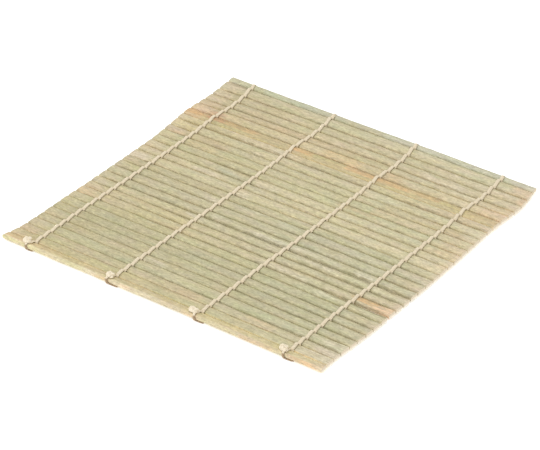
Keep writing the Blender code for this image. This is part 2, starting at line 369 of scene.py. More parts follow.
def bamboo_material():
    """Split bamboo: pale blotched fibres, darker pores, painted shade at the edges and stains where it is
    told.
    """
    n = Nodes("bamboo_look")
    grain = n.attribute("grain", "Vector")
    tint = n.attribute("tint", "Color")
    painted_shade = n.attribute("painted_shade")
    stain_and_painted_light = n.add("ShaderNodeAttribute", attribute_name="stain_and_painted_light")
    broad = n.noise(grain, (22, 150, 60))
    hue = n.noise(grain, (150, 420, 300))
    clouds = n.noise(grain, (70, 300, 240))
    warm = n.noise(grain, (52, 150, 120))
    sallow = n.noise(grain, (64, 190, 150))
    streaks = n.noise(grain, (40, 1100, 700), 3.0, 0.6)
    mottle = n.noise(grain, (220, 700, 560), 3.0, 0.6)
    specks = n.noise(grain, (560, 1300, 1000), 2.0, 0.6)
    fibres = n.noise(grain, (120, 4200, 2600), 2.0, 0.6)
    colour = n.mix(n.ramp(broad), linear(190, 181, 147), linear(194, 181, 148))
    for blotches, low, high in (
        (hue, (0.985, 1, 0.975, 1), (1.015, 0.998, 1.025, 1)),
        (warm, (0.982, 1.006, 1, 1), (1.018, 0.994, 1, 1)),
        (sallow, (1, 1, 0.955, 1), (1, 1, 1.045, 1)),
    ):
        tinge = n.mix(n.ramp(blotches), low, high)
        colour = n.mix(1.0, colour, tinge, "MULTIPLY")
    colour = n.mix(1.0, colour, tint, "MULTIPLY")
    # stains, and the painted shade at some gaps' edges, soak in along the fibres
    ragged = n.ramp(streaks, 0.36, 0.62, 0.35, 1.2, "LINEAR")
    blotched = n.ramp(mottle, 0.3, 0.6, 0.7, 1.15, "LINEAR")
    soaked = n.maths("MULTIPLY", stain_and_painted_light.outputs["Alpha"], n.maths("MULTIPLY", ragged, blotched))
    colour = n.mix(soaked, colour, stain_and_painted_light.outputs["Color"])
    # painted shade darkens the edges towards the gaps, unevenly
    uneven_shade = n.maths("MULTIPLY", painted_shade, n.ramp(mottle, 0.3, 0.7, 1.6, 0.4, "LINEAR"))
    colour = n.mix(uneven_shade, colour, linear(146, 134, 92))
    shade = n.ramp(clouds, 0.25, 0.75, 0.94, 1.06, "LINEAR")
    for fine, low, high in (
        (streaks, 0.94, 1.06), (fibres, 0.91, 1.08), (mottle, 0.8, 1.19), (specks, 0.8, 1.19)
    ):
        shade = n.maths("MULTIPLY", shade, n.ramp(fine, 0.25, 0.75, low, high, "LINEAR"))
    grey = n.add("ShaderNodeCombineColor", {"Red": shade, "Green": shade, "Blue": shade})
    colour = n.mix(1.0, colour, grey.outputs["Color"], "MULTIPLY")
    # pores: short brown dashes along the fibres
    pores = n.noise(grain, (260, 5200, 4000), 0.0)
    dashes = n.ramp(pores, 0.70, 0.78, 0.0, 0.4)
    colour = n.mix(dashes, colour, linear(140, 112, 66))
    height = n.maths("ADD", n.maths("MULTIPLY", streaks, 0.6), n.maths("MULTIPLY", fibres, 0.4))
    return n.finish({
        "Base Color": colour,
        "Roughness": n.ramp(streaks, 0.2, 0.8, 0.5, 0.68, "LINEAR"),
        "Specular IOR Level": 0.28,
        "Normal": n.bump(height, 0.35, 0.12 * MM),
    })


def end_material():
    """Sawn bamboo: the dark ends of the fibre bundles in a paler ground, palest at the foot."""
    n = Nodes("bamboo_sawn_end")
    grain = n.attribute("grain", "Vector")
    cells = n.add("ShaderNodeTexVoronoi", {"Vector": n.scaled(grain, (300, 1900, 1900)),
                                           "Scale": 1.0, "Randomness": 0.9})
    rough = n.noise(grain, (500, 2600, 2600))
    ground = n.mix(n.ramp(rough), linear(208, 193, 168), linear(218, 205, 182))
    height = n.add("ShaderNodeSeparateXYZ", {"Vector": grain}).outputs["Z"]
    ground = n.mix(n.ramp(height, 0.5 * MM, -1.3 * MM), ground, linear(240, 232, 216))
    dots = n.ramp(cells.outputs["Distance"], 0.16, 0.34, 0.3, 0.0)
    colour = n.mix(dots, ground, linear(184, 152, 110))
    return n.finish({
        "Base Color": colour,
        "Roughness": 0.85,
        "Specular IOR Level": 0.15,
        "Normal": n.bump(rough, 0.5, 0.15 * MM),
    })


def cotton_material():
    """Undyed cotton: fine fibres that run with the plies, with painted shade in the lay between them."""
    n = Nodes("cotton_look")
    yarn = n.attribute("yarn", "Vector")
    lay = n.attribute("lay")
    stain_and_painted_light = n.add("ShaderNodeAttribute", attribute_name="stain_and_painted_light")
    fibres = n.noise(yarn, (300, 5.0, 1.0), 3.0, 0.6)
    broad = n.noise(yarn, (60, 0.4, 1.0), 1.0)
    colour = n.mix(n.ramp(broad), linear(220, 206, 176), linear(213, 196, 165))
    # painted shade in the lay between the plies
    colour = n.mix(n.ramp(lay, 0.78, 0.98, 0.2, 0.0), colour, linear(204, 184, 148))
    colour = n.mix(n.ramp(fibres, 0.3, 0.7, 0.0, 0.3), colour, linear(236, 226, 206))
    # painted light in the gaps, painted shade low down at the knots, and the knots' whiter tone
    colour = n.mix(stain_and_painted_light.outputs["Alpha"], colour, stain_and_painted_light.outputs["Color"])
    return n.finish({
        "Base Color": colour,
        "Roughness": 0.95,
        "Specular IOR Level": 0.1,
        "Sheen Weight": 0.25,
        "Sheen Roughness": 0.6,
        "Normal": n.bump(fibres, 0.5, 0.12 * MM),
    })


BAMBOO = bamboo_material()
SAWN_END = end_material()
COTTON = cotton_material()

# Splints

# What light and soil have made of the bamboo, as seen: broad tints of whole splints
TINTS = {
    "straw": (1, 1, 1),
    "pale": (1.02, 1.04, 1.06),
    "beige": (1.01, 0.98, 0.975),
    "peach": (1.06, 1.01, 0.99),
    "olive": (0.985, 0.985, 0.945),
    "dull": (0.94, 0.96, 0.945),
    "shade": (0.905, 0.945, 0.93),
    "green": (0.95, 0.99, 0.955),
    "light": (1.05, 1.05, 1.05),
    "ash": (0.965, 1.04, 1.16),
    "tan": (0.95, 0.89, 0.81),
    "mint": (0.96, 1.01, 1),
    "slate": (0.955, 0.985, 1.005),
    "warm": (1.06, 1, 0.94),
    "fresh": (0.985, 1.01, 0.975),
}
SPLINT_TINTS = (
    "ash straw beige beige beige peach tan beige light straw "
    "fresh fresh light light light dull slate slate slate pale "
    "straw straw green shade shade shade dull mint straw olive warm"
).split()
# Each splint takes another stretch of the same noise, in metres from the one before
GRAIN_STEP = (1.7, 0.31, 0)
# How much the tone wanders along each splint, turning about every so often
TONE_WANDER, TONE_TURNS = 0.03, 50 * MM
# How the tone drifts over the mat, with painted light that grows towards the right and the far edge,
# per channel: even, with x, with y and with both
TONE_AND_PAINTED_LIGHT = (
    (-0.01, 0.046, 0.032, 0.006),
    (0.004, 0.067, 0.043, -0.004),
    (-0.013, 0.097, 0.061, -0.016),
)
# The front of the last splint is paler than the rest, partly its skin and partly painted light,
# from this far across it on, and more so at the left, with this stretch of x between the two
FRONT_FROM, FRONT_FADE = 0.08, 0.6
FRONT_LEFT, FRONT_RIGHT = (1.29, 1.4, 1.64), (1.15, 1.17, 1.32)
FRONT_TURNS = 60 * MM
# So are the ends of all splints: the way to the end, from x, over how far, and the tint
END_TINTS = (
    (-1, -110 * MM, 5 * MM, (1.08, 1.05, 1.1)),
    (1, 124 * MM, 3 * MM, (1.05, 1.02, 1.05)),
    (1, 103 * MM, 9 * MM, (1.025, 0.995, 1.005)),
)
# Where the outline turns away at the left and far edges it looks greyer
RIM_GREY = (0.95, 0.97, 1.05)
RIM_LEFT, RIM_FAR, RIM_FADE = 1.4 * MM, 1.3 * MM, MM

# The colours of stains, as seen
ORANGE = (222, 160, 96)
BROWN = (186, 142, 98)
SAND = (180, 156, 112)
YELLOW = (208, 192, 118)
LIME = (192, 190, 126)
PINK = (218, 172, 146)
RED = (196, 120, 92)
GREEN = (160, 178, 136)
MILK = (222, 212, 194)
PEACH = (240, 200, 158)
SLATE = (160, 168, 150)
FLESH = (240, 198, 162)
# painted shade for the edges at some gaps
PAINTED_GAP_SHADE = (122, 106, 68)
# The part of a splint, from -1 at its near side to 1 at its far side, and how wide its rim fades
ALL = (-2, 2, 0.7)
FAR = (0.1, 2, 0.7)
NEAR = (-2, -0.1, 0.7)
MOST = (-0.1, 2, 0.9)
FRONT = (-2, -0.7, 0.4)
RIM = (0.8, 2, 0.4)
EDGE = (0.5, 2, 0.35)
# The stains of each splint, with painted shade at some gaps' edges: from x, to x in mm, the part of
# it, colour, strength in per cent
STAINS_AND_SHADE = {
    1: ((-96, -89, ALL, GREEN, 15), (-66, -57, ALL, GREEN, 15), (-20, 0, NEAR, SAND, 30),
        (-126, -102, ALL, LIME, 30)),
    2: ((119, 131, ALL, PINK, 25), (-120, -107, RIM, PAINTED_GAP_SHADE, 45), (123, 131, NEAR, RED, 20)),
    3: ((76, 124, FAR, MILK, 15), (-84, -72, FAR, SAND, 30), (128, 134, ALL, PINK, 25)),
    4: ((60, 84, NEAR, MILK, 30),),
    5: ((-120, -108, ALL, BROWN, 12), (-57, -37, ALL, BROWN, 15), (-46, 30, FAR, BROWN, 16),
        (-92, -70, NEAR, SAND, 20), (86, 100, FAR, MILK, 25), (118, 130, ALL, ORANGE, 10),
        (-12, 2, NEAR, SAND, 25)),
    6: ((-12, 12, ALL, ORANGE, 20), (39, 43, ALL, RED, 18), (-122, -112, ALL, PINK, 18),
        (116, 130, ALL, PINK, 20), (-109, -105, NEAR, RED, 35), (12, 34, NEAR, SAND, 15)),
    7: ((-128, -118, MOST, ORANGE, 38), (-107, -99, FAR, RED, 42), (-97, -72, FAR, ORANGE, 28),
        (-100, -60, NEAR, LIME, 15), (-34, -24, MOST, ORANGE, 38), (-18, 6, FAR, YELLOW, 20),
        (10, 32, FAR, ORANGE, 34), (34, 56, MOST, ORANGE, 30), (30, 64, NEAR, YELLOW, 15),
        (66, 104, FAR, ORANGE, 24), (86, 112, MOST, YELLOW, 30), (-126, -117, NEAR, PEACH, 20),
        (108, 127, FAR, SAND, 40)),
    8: ((-118, -96, ALL, YELLOW, 15), (-70, -42, ALL, MILK, 12), (44, 70, ALL, YELLOW, 12),
        (90, 122, ALL, PINK, 12), (-44, -39, NEAR, MILK, 40)),
    9: ((-122, -110, ALL, YELLOW, 20), (70, 118, NEAR, SAND, 12)),
    10: ((-117, -107, ALL, PINK, 20), (-95, -76, ALL, BROWN, 15), (60, 114, ALL, SAND, 32)),
    11: ((-97, -80, ALL, ORANGE, 12), (56, 116, ALL, PINK, 20), (40, 52, ALL, GREEN, 12)),
    12: ((34, 52, FAR, BROWN, 30), (116, 127, ALL, PINK, 20)),
    13: ((-54, -40, RIM, PAINTED_GAP_SHADE, 60), (-27, -18, NEAR, MILK, 25), (118, 127, ALL, ORANGE, 10),
         (-58, -36, NEAR, SLATE, 35)),
    14: ((-36, -28, FAR, SLATE, 25), (-76, -60, NEAR, MILK, 25), (60, 110, ALL, SAND, 12)),
    15: ((-127, -114, NEAR, MILK, 35), (-32, -28, NEAR, MILK, 30)),
    17: ((10, 75, ALL, SLATE, 10), (-117, -110, ALL, YELLOW, 15), (-44, -39, NEAR, MILK, 30)),
    18: ((106, 120, ALL, SAND, 20),),
    19: ((8, 54, NEAR, MILK, 22), (90, 96, NEAR, MILK, 35)),
    20: ((50, 66, FAR, MILK, 25), (-56, -46, NEAR, SAND, 20), (-72, -43, ALL, YELLOW, 12),
         (-44, -39, FAR, MILK, 30)),
    21: ((-83, -72, FAR, SAND, 30), (-74, -46, ALL, YELLOW, 15)),
    22: ((103, 118, FAR, ORANGE, 55), (119, 129, ALL, FLESH, 60), (30, 60, NEAR, MILK, 20),
         (-128, -116, ALL, PEACH, 20), (-70, -45, ALL, YELLOW, 12)),
    23: ((94, 128, EDGE, PAINTED_GAP_SHADE, 60), (78, 92, FAR, MILK, 25)),
    24: ((-128, -119, ALL, LIME, 15),),
    25: ((-128, -118, ALL, LIME, 15),),
    27: ((-38, -24, NEAR, MILK, 30),),
    28: ((114, 130, ALL, MILK, 30),),
    29: ((8, 16, ALL, BROWN, 20), (60, 75, ALL, PINK, 15), (114, 130, ALL, MILK, 30)),
    30: ((-60, -20, ALL, LIME, 12), (106, 126, ALL, MILK, 30), (-12, 4, RIM, PAINTED_GAP_SHADE, 30)),
    31: ((-116, -98, FRONT, LIME, 35), (-76, -66, FRONT, LIME, 25), (-48, -43, FRONT, ORANGE, 30),
         (20, 26, FRONT, PEACH, 30), (36, 62, FRONT, LIME, 20), (66, 86, FRONT, ORANGE, 22),
         (-118, -70, ALL, LIME, 10), (6, 100, ALL, YELLOW, 16), (4, 22, ALL, SAND, 20),
         (104, 118, FRONT, ORANGE, 30), (-130, -114, FRONT, LIME, 50), (-128, -119, MOST, SAND, 35),
         (-35, -28, FRONT, FLESH, 35)),
}
STAIN_AND_SHADE_FADE = 9 * MM

# How far the splints' edges grow into each gap between the twines, from the first gap to the last
GAP_GROWTH_MM = (
    0.32, 0.08, 0.2, 0.08, 0.3, 0.17, 0.55, 0, 0.25, 0.3, 0.33, 0.25, 0.22, 0.3, 0.28, 0.28,
    0.22, 0.12, -0.15, 0.12, 0.25, 0.17, 0.36, 0.32, 0.42, 0.34, 0.45, 0.34, 0.5, 0.52,
)
# They grow less towards the right, and from the first to the second of these gaps ever less
OPENING_GAPS = (14, 26)
OPENS_TO_RIGHT_MM = (0.05, 0.36)
# At the sawn ends they all but touch, and have less painted shade
LEFT_CLOSED_FROM, LEFT_CLOSED_FADE, LEFT_CLOSED = -118 * MM, 5 * MM, 0.42 * MM
RIGHT_CLOSED_FROM, RIGHT_CLOSED_FADE, RIGHT_CLOSED = 121 * MM, 4 * MM, 0.3 * MM
LESS_SHADE_LEFT, LESS_SHADE_RIGHT = 0.6, 0.3
# How dark the painted shade makes the edges at each gap: 1 is usual, and below 0 they are painted paler
GAP_DARKNESS = (
    0.8, 1.2, 1, 1.3, 0.8, 1.1, -1, 1.5, 1.05, 0.95, 0.9, 1.05, 1.1, 0.9, 1.05, 1.05,
    1.1, 1.3, 1.9, 1.4, 1.2, 1.2, 0.7, 0.9, 0.7, 0.9, 0.7, 1, 0.1, -1.5,
)
# From this gap on they are darker towards the right
DARKER_FROM, DARKER_TO_RIGHT = 19, 0.6
# Stretches that are tighter or gape: first gap, last gap, from x, to x, how much more the edges grow
UNEVEN_GAPS = (
    (2, 2, -100, 60, 0.1),
    (12, 12, -60, -36, -0.2),
    (12, 12, -30, 20, 0.12),
    (13, 13, -100, -20, -0.1),
    (22, 22, 90, 125, -0.4),
    (26, 28, -125, -104, 0.15),
    (29, 29, -125, -40, 0.15),
    (30, 30, -125, -30, 0.15),
)
UNEVEN_FADE = 12 * MM


def window(x, lo, hi, fade):
    """1 between lo and hi, fading to 0 outside them."""
    return smooth((x - lo) / fade + 1) * smooth((hi - x) / fade + 1)


def near_twine(x, y):
    """1 where a twine crosses, 0 away from it."""
    close = np.zeros_like(x)
    for twine in range(1, TWINES + 1):
        close = np.maximum(close, np.exp(-(((x - twine_x(twine, y)) / TWINE_REACH) ** 2)))
    return close


def closed_ends(x):
    """How far the splints have closed up at these places, at the left end and at the right."""
    left = smooth((LEFT_CLOSED_FROM - x) / LEFT_CLOSED_FADE)
    return left, smooth((x - RIGHT_CLOSED_FROM) / RIGHT_CLOSED_FADE)


def edge_growth(gap, x, y):
    """How far a splint's edge at this gap grows into it, along the splint, in metres."""
    if not 0 < gap < SLATS:
        return np.zeros_like(x)
    growth = np.full(len(x), float(GAP_GROWTH_MM[gap - 1]))
    growth -= np.interp(gap, OPENING_GAPS, OPENS_TO_RIGHT_MM) * x / HALF_MAT
    for first, last, lo, hi, amount in UNEVEN_GAPS:
        if first <= gap <= last:
            growth += amount * window(x, lo * MM, hi * MM, UNEVEN_FADE)
    growth *= MM * (1 - near_twine(x, y))
    left, right = closed_ends(x)
    return growth + LEFT_CLOSED * left + RIGHT_CLOSED * right


def most_growth(gap):
    """How far an edge may grow and still fold up without touching the next one."""
    half = math.radians(np.interp(gap, FOLD_GAPS, FOLD_DEGREES)) / 2
    needed = CORNER * (1 / math.cos(half) - 1) + (HALF_SLAT - CORNER) * math.tan(half)
    return HALF_GAP - needed - FOLD_ROOM


def edge_darkness(gap, x):
    """How dark the painted shade makes the edges at this gap, along them; 1 is the usual darkness."""
    if not 0 < gap < SLATS:
        return np.ones_like(x)
    to_right = DARKER_TO_RIGHT if gap >= DARKER_FROM else 0
    left, right = closed_ends(x)
    less_shade = LESS_SHADE_LEFT * left + LESS_SHADE_RIGHT * right
    return GAP_DARKNESS[gap - 1] * (1 + to_right * x / HALF_MAT) * (1 - less_shade)


# The points of a splint's section: how far across the flats, and round the corners
ACROSS_TOP = np.linspace(0.86, -0.86, 9)
ACROSS_BOTTOM = np.linspace(-0.8, 0.8, 5)
ARC = np.radians((18, 45, 72))


def splint_section(half_width, up, down, ridges):
    """Points (y, z) of one ring about mid-slat, from the far side over the top to the near."""
    inner = half_width - CORNER

    def corner(side, level, way, angles):
        """Round the far (1) or near (-1) corner, at the top (way 1) or at the bottom (way -1)."""
        return [(side * (inner + CORNER * math.cos(angle)), level - way * CORNER * (1 - math.sin(angle)))
                for angle in angles]

    points = corner(1, up, 1, ARC)
    points += [(across * inner, up + CROWN * (1 - across * across) + ridge)
               for across, ridge in zip(ACROSS_TOP, ridges)]
    points += corner(-1, up, 1, ARC[::-1]) + corner(-1, -down, -1, ARC)
    points += [(across * inner, -down) for across in ACROSS_BOTTOM]
    return points + corner(1, -down, -1, ARC[::-1])


AROUND = 4 * len(ARC) + len(ACROSS_TOP) + len(ACROSS_BOTTOM)


def stations(lo, hi):
    """The places of a splint's rings along X."""
    x = np.linspace(lo, hi, int((hi - lo) / STATION) + 1)
    in_from_end = np.array(END_STATIONS)
    return np.concatenate((lo + in_from_end, x[1:-1], hi - in_from_end[::-1]))


def splint_edges(slat, x, free, rng):
    """The far and the near edge of a splint: lines of Y at these places."""
    lo, hi = BOXES[slat]
    edges = []
    for gap, out, edge in ((slat - 1, 1, hi.y), (slat, -1, lo.y)):
        uneven = free * wandering(rng, x, EDGE_WANDER_MM)
        grown = np.minimum(edge_growth(gap, x, middle_y(slat)) + uneven, most_growth(gap))
        edges.append(edge + bow(x, edge) + out * grown)
    return edges


def add_sawn_end(verts, faces, start, outward, rng):
    """Close the ring whose points begin at start with two smaller, rough ones and a middle."""
    rim = verts[start:start + AROUND]
    cx, cy, cz = (sum(v[k] for v in rim) / AROUND for k in range(3))
    first = len(verts)
    for share in SAWN_RINGS:
        for x, y, z in rim:
            rough = rng.uniform(-SAW_ROUGH_MM, SAW_ROUGH_MM) * MM
            verts.append((x + outward * SAW_PROUD[0] + rough, cy + (y - cy) * share, cz + (z - cz) * share))
    centre_point = len(verts)
    verts.append((cx + outward * SAW_PROUD[1], cy, cz))
    loops = (start, first, first + AROUND)
    for i in range(AROUND):
        j = (i + 1) % AROUND
        ends = [(a + i, b + i, b + j, a + j) for a, b in zip(loops, loops[1:])]
        ends.append((loops[-1] + i, centre_point, loops[-1] + j))
        faces += [face[::outward] for face in ends]


def make_splint(slat):
    """A splint in place of its slat, from rings of points along it and a rough end at each side."""
    rng = np.random.default_rng(SPLINT_SEED + slat)
    lo, hi = BOXES[slat]
    x = stations(lo.x, hi.x)
    free = 1 - near_twine(x, middle_y(slat))
    far, near = splint_edges(slat, x, free, rng)
    up = HALF_SLAT + free * wandering(rng, x, TOP_WANDER_MM)
    down = HALF_SLAT + free * wandering(rng, x, UNDERSIDE_WANDER_MM)
    ridges = np.array([wandering(rng, x, RIDGE_WANDER_MM) for _ in ACROSS_TOP])
    ridges *= RIDGES_UNDER_TWINE + (1 - RIDGES_UNDER_TWINE) * free
    aside_left, aside_right = rng.uniform(-SAW_ASIDE_MM, SAW_ASIDE_MM, 2) * MM
    dark_far, dark_near = edge_darkness(slat - 1, x), edge_darkness(slat, x)
    verts, painted_shade, walls, dark = [], [], [], []
    for i in range(len(x)):
        centre = (far[i] + near[i]) / 2
        half_width = (far[i] - near[i]) / 2
        to_left = max(0.0, 1 - (x[i] - lo.x) / SAW_REACH)
        to_right = max(0.0, 1 - (hi.x - x[i]) / SAW_REACH)
        for y, z in splint_section(half_width, up[i], down[i], ridges[:, i]):
            cut = to_left * (end_x(0, centre + y) + LEFT_SHORTER + aside_left - lo.x)
            cut += to_right * (end_x(1, centre + y) + aside_right - hi.x)
            verts.append((x[i] + cut, centre + y, MID_Z + z))
            reach = PAINTED_SHADE_REACH_FAR if y > 0 else PAINTED_SHADE_REACH_NEAR
            painted_shade.append(1 - (half_width - abs(y)) / reach)
            walls.append((up[i] - z) / CORNER)
            dark.append(dark_far[i] if y > 0 else dark_near[i])
    faces = loft_faces(len(x), AROUND)
    sides = len(faces)
    add_sawn_end(verts, faces, 0, -1, rng)
    add_sawn_end(verts, faces, (len(x) - 1) * AROUND, 1, rng)
    verts = np.array(verts)
    obj = mesh_object(f"splint_{slat:02d}", verts, faces)
    obj.data.materials.append(BAMBOO)
    obj.data.materials.append(SAWN_END)
    index = [0] * sides + [1] * (len(faces) - sides)
    obj.data.polygons.foreach_set("material_index", index)
    obj.data.set_sharp_from_angle(angle=SHARP_SPLINT)
    colour_splint(obj, slat, verts, (painted_shade, walls, dark), rng)
    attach(obj, node_name(slat))
    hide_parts(node_name(slat))


def colour_splint(obj, slat, verts, at_rings, rng):
    """Give a splint its grain, painted shade, tint with painted light, and stains."""
    lo, hi = BOXES[slat]
    middle = middle_y(slat)
    put_attribute(obj, "grain", verts - (0, middle, MID_Z) + np.array(GRAIN_STEP) * slat)
    across = (verts[:, 1] - middle - bow(verts[:, 0], middle)) / ((hi.y - lo.y) / 2)
    front = smooth((-across - FRONT_FROM) / FRONT_FADE) if slat == SLATS else np.zeros(len(verts))
    # the sawn ends have no painted shade and no walls
    none = np.zeros(len(verts) - len(at_rings[0]))
    painted_shade, walls, dark = (np.concatenate((values, none)) for values in at_rings)
    painted_shade, walls = smooth(painted_shade), smooth(walls)
    # painted shade on the edges towards the gaps
    put_attribute(obj, "painted_shade", PAINTED_SHADE_AT_EDGE * dark * painted_shade * (1 - walls) * (1 - front))
    tint = splint_tint(slat, verts, front, rng)
    # painted light on the walls of the gaps, against the shade in them
    painted_wall_light = WALL_PAINTED_LIGHT * np.maximum(2 - dark, 0) * walls * (1 - front)
    tint[:, :3] *= 1 + painted_wall_light[:, None]
    put_attribute(obj, "tint", tint)
    put_attribute(obj, "stain_and_painted_light", splint_stains_and_shade(slat, verts, across))


def splint_tint(slat, verts, front, rng):
    """A multiplier for the splint's colour, with the drift of tone and painted light over the mat."""
    x, y = verts[:, 0], verts[:, 1]
    base = np.array(TINTS[SPLINT_TINTS[slat - 1]])
    along = wander(rng, x, TONE_TURNS, TONE_WANDER)
    u, v = x / HALF_MAT, y / HALF_MAT
    tone_and_light = np.array([even + a * u + b * v + c * u * v for even, a, b, c in TONE_AND_PAINTED_LIGHT]).T
    # painted light: brighter towards the right and the far edge
    colour = base * (1 + along[:, None]) * np.exp(tone_and_light)
    # the front is paler: partly the skin of the culm, partly painted light
    share = np.clip(0.5 + x / FRONT_TURNS, 0, 1)[:, None]
    skin_and_light = (1 - share) * np.array(FRONT_LEFT) + share * np.array(FRONT_RIGHT)
    colour *= 1 + front[:, None] * (skin_and_light - 1)
    for way, start, fade, end_tint in END_TINTS:
        colour *= 1 + smooth(way * (x - start) / fade)[:, None] * (np.array(end_tint) - 1)
    rim = smooth((end_x(0, y) + RIM_LEFT - x) / RIM_FADE)
    if slat == 1:
        rim = np.maximum(rim, smooth((y - bow(x, y) - FAR_EDGE + RIM_FAR) / RIM_FADE))
    colour *= 1 + rim[:, None] * (np.array(RIM_GREY) - 1)
    return np.concatenate((colour, np.ones((len(x), 1))), axis=1)


def splint_stains_and_shade(slat, verts, across):
    """The colour of the splint's stains and painted shade, and how strong they are; the strongest shows."""
    x = verts[:, 0]
    colour = np.zeros((len(x), 4))
    colour[:, :3] = linear(*YELLOW)[:3]
    for lo, hi, part, stain_and_painted_light, strength in STAINS_AND_SHADE.get(slat, ()):
        amount = strength / 100 * window(x, lo * MM, hi * MM, STAIN_AND_SHADE_FADE) * window(across, *part)
        stronger = amount > colour[:, 3]
        colour[stronger, :3] = linear(*stain_and_painted_light)[:3]
        colour[:, 3] = np.maximum(colour[:, 3], amount)
    return colour


# Cotton

# Three plies laid together, as shares of the strand's half width
PLY_OFFSET, PLY_RADIUS = 0.34, 0.66
TURN = np.linspace(0, 2 * math.pi, 18, endpoint=False)


def lobed(angle):
    """The outline of the plies, as a share of the strand's half width."""
    third = 2 * math.pi / 3
    off = np.mod(angle + third / 2, third) - third / 2
    return PLY_OFFSET * np.cos(off) + np.sqrt(PLY_RADIUS**2 - (PLY_OFFSET * np.sin(off)) ** 2)


LOBES = lobed(TURN)


def lengths_along(points):
    """The length of a line up to each of its points."""
    return np.concatenate(([0], np.cumsum(np.linalg.norm(np.diff(points, axis=0), axis=1))))


def resample(points, step):
    """The same line with points about every step, and the length up to each."""
    points = np.asarray(points, float)
    lengths = lengths_along(points)
    count = max(int(round(lengths[-1] / step)), 2) + 1
    at = np.linspace(0, lengths[-1], count)
    return np.stack([np.interp(at, lengths, points[:, k]) for k in range(points.shape[1])], 1), at


def smoothed(points, passes):
    points = np.array(points, float)
    for _ in range(passes):
        points[1:-1] = (points[:-2] + 2 * points[1:-1] + points[2:]) / 4
    return points


def strand_line(points, passes):
    """A smoothed line in even steps, and the share of its length at each of its points."""
    line, along = resample(smoothed(resample(points, RING_STEP / 2)[0], passes), RING_STEP)
    return line, along / along[-1]


def on_mat(x, line):
    """A line given as (y, z) about mid-slat with these X, moved along with the bowed splints."""
    return np.stack((x, line[:, 0] + bow(x, line[:, 0]), MID_Z + line[:, 1]), 1)


def yarn(path, size, start=0.0, side_hint=(1, 0, 0)):
    """A plied strand along the path: its points, faces, (along, around, 0) and lay."""
    path, size = np.asarray(path, float), np.asarray(size, float)
    tangent = np.gradient(path, axis=0)
    tangent /= np.linalg.norm(tangent, axis=1)[:, None]
    hint = np.broadcast_to(np.asarray(side_hint, float), path.shape)
    side = hint - (hint * tangent).sum(1)[:, None] * tangent
    side /= np.linalg.norm(side, axis=1)[:, None]
    normal = np.cross(tangent, side)
    along = start + lengths_along(path)
    angle = TURN[None, :] + 2 * math.pi * along[:, None] / PLY_PITCH
    wide, thick = size[:, 0, None, None] / 2, size[:, 1, None, None] / 2
    ring = (LOBES * np.cos(angle))[:, :, None] * side[:, None, :] * wide
    ring = ring + (LOBES * np.sin(angle))[:, :, None] * normal[:, None, :] * thick
    verts = (path[:, None, :] + ring).reshape(-1, 3)
    around = len(TURN)
    last = (len(path) - 1) * around
    faces = loft_faces(len(path), around)
    faces += [tuple(range(around)), tuple(range(last + around - 1, last - 1, -1))]
    coords = np.stack((np.repeat(along, around), np.tile(TURN, len(path)), np.zeros(len(verts))), 1)
    return verts, faces, coords, np.tile(LOBES, len(path))


def yarn_piece(name, strands, stain_and_painted_light=None):
    """One object of several strands, each given as the arguments of yarn()."""
    parts = [yarn(**strand) for strand in strands]
    faces, first = [], 0
    for own_verts, own_faces, *_ in parts:
        faces += [tuple(i + first for i in face) for face in own_faces]
        first += len(own_verts)
    verts, coords, lay = (np.concatenate([part[k] for part in parts]) for k in (0, 2, 3))
    obj = mesh_object(name, verts, faces)
    # the cut ends are flat, the sides smooth
    obj.data.polygons.foreach_set("use_smooth", [len(face) == 4 for face in faces])
    obj.data.set_sharp_from_angle(angle=SHARP_COTTON)
    obj.data.materials.append(COTTON)
    put_attribute(obj, "yarn", coords)
    put_attribute(obj, "lay", lay)
    put_attribute(obj, "stain_and_painted_light", stain_and_painted_light(verts) if stain_and_painted_light else np.zeros((len(verts), 4)))
    return obj


def strand_height(side):
    """How high above mid-slat (1), or how far below it (-1), the middle of a strand runs."""
    if side > 0:
        return HALF_SLAT + ON_TOP[1] / 2 + HUG + CROWN_UNDER_TWINE
    return HALF_SLAT + UNDER[1] / 2 + HUG


def corner_path(across, top):
    """From (0, 0) straight up, then round a slat's corner; ends level at (across, top)."""
    turn = np.linspace(0, math.pi / 2, 14)
    out = across * (1 - np.cos(turn) ** (2 / ROUNDNESS))
    up = RISE + (top - RISE) * np.sin(turn) ** (2 / ROUNDNESS)
    return [(0, 0), (0, RISE / 2)] + list(zip(out, up))


def over_slat(slat, side):
    """(y, z) of a strand from the gap beyond a slat, over (1) or under (-1) it, to the near gap."""
    # the two strands pass each other at the top of a gap, each close to one slat further down
    y_far, y_near = gap_y(slat - 1) + side * APART, gap_y(slat) - side * APART
    lo, hi = BOXES[slat]
    top = strand_height(side)
    first = corner_path(y_far - hi.y + CORNER, top)
    last = corner_path(lo.y - y_near + CORNER, top)
    points = [(y_far - a, side * b) for a, b in first]
    points += [(y_near + a, side * b) for a, b in last[::-1]]
    return points


def strand_over(twine, slat, side):
    """A strand's path past one slat, with its width and thickness."""
    line, share = strand_line(over_slat(slat, side), 3)
    x = twine_x(twine, line[:, 0]) - side * SWING * np.cos(math.pi * share)
    if slat == SLATS and side > 0:
        x -= LEAN_TO_KNOT * KNOTS_ASIDE_MM[twine - 1] * MM * smooth(2 * share)
    # from the shape in a gap to the shape on the bamboo as the strand comes out of the gap
    out = smooth((np.abs(line[:, 1]) / HALF_SLAT - 0.5) / 0.75)[:, None]
    size = (1 - out) * np.array(IN_GAP) + out * np.array(ON_TOP if side > 0 else UNDER)
    return on_mat(x, line), size


def cut_at_middle(path, size):
    """The two halves of a path past a slat; both have the point in the middle."""
    half = len(path) // 2
    return (path[:half + 1], size[:half + 1]), (path[half:], size[half:])


def laid_over(colour, strength):
    """A colour to lay over the cotton, as seen, with this strength; used for painted light, painted shade
    and the knots' tone.
    """
    return np.array((*linear(*colour)[:3], strength))


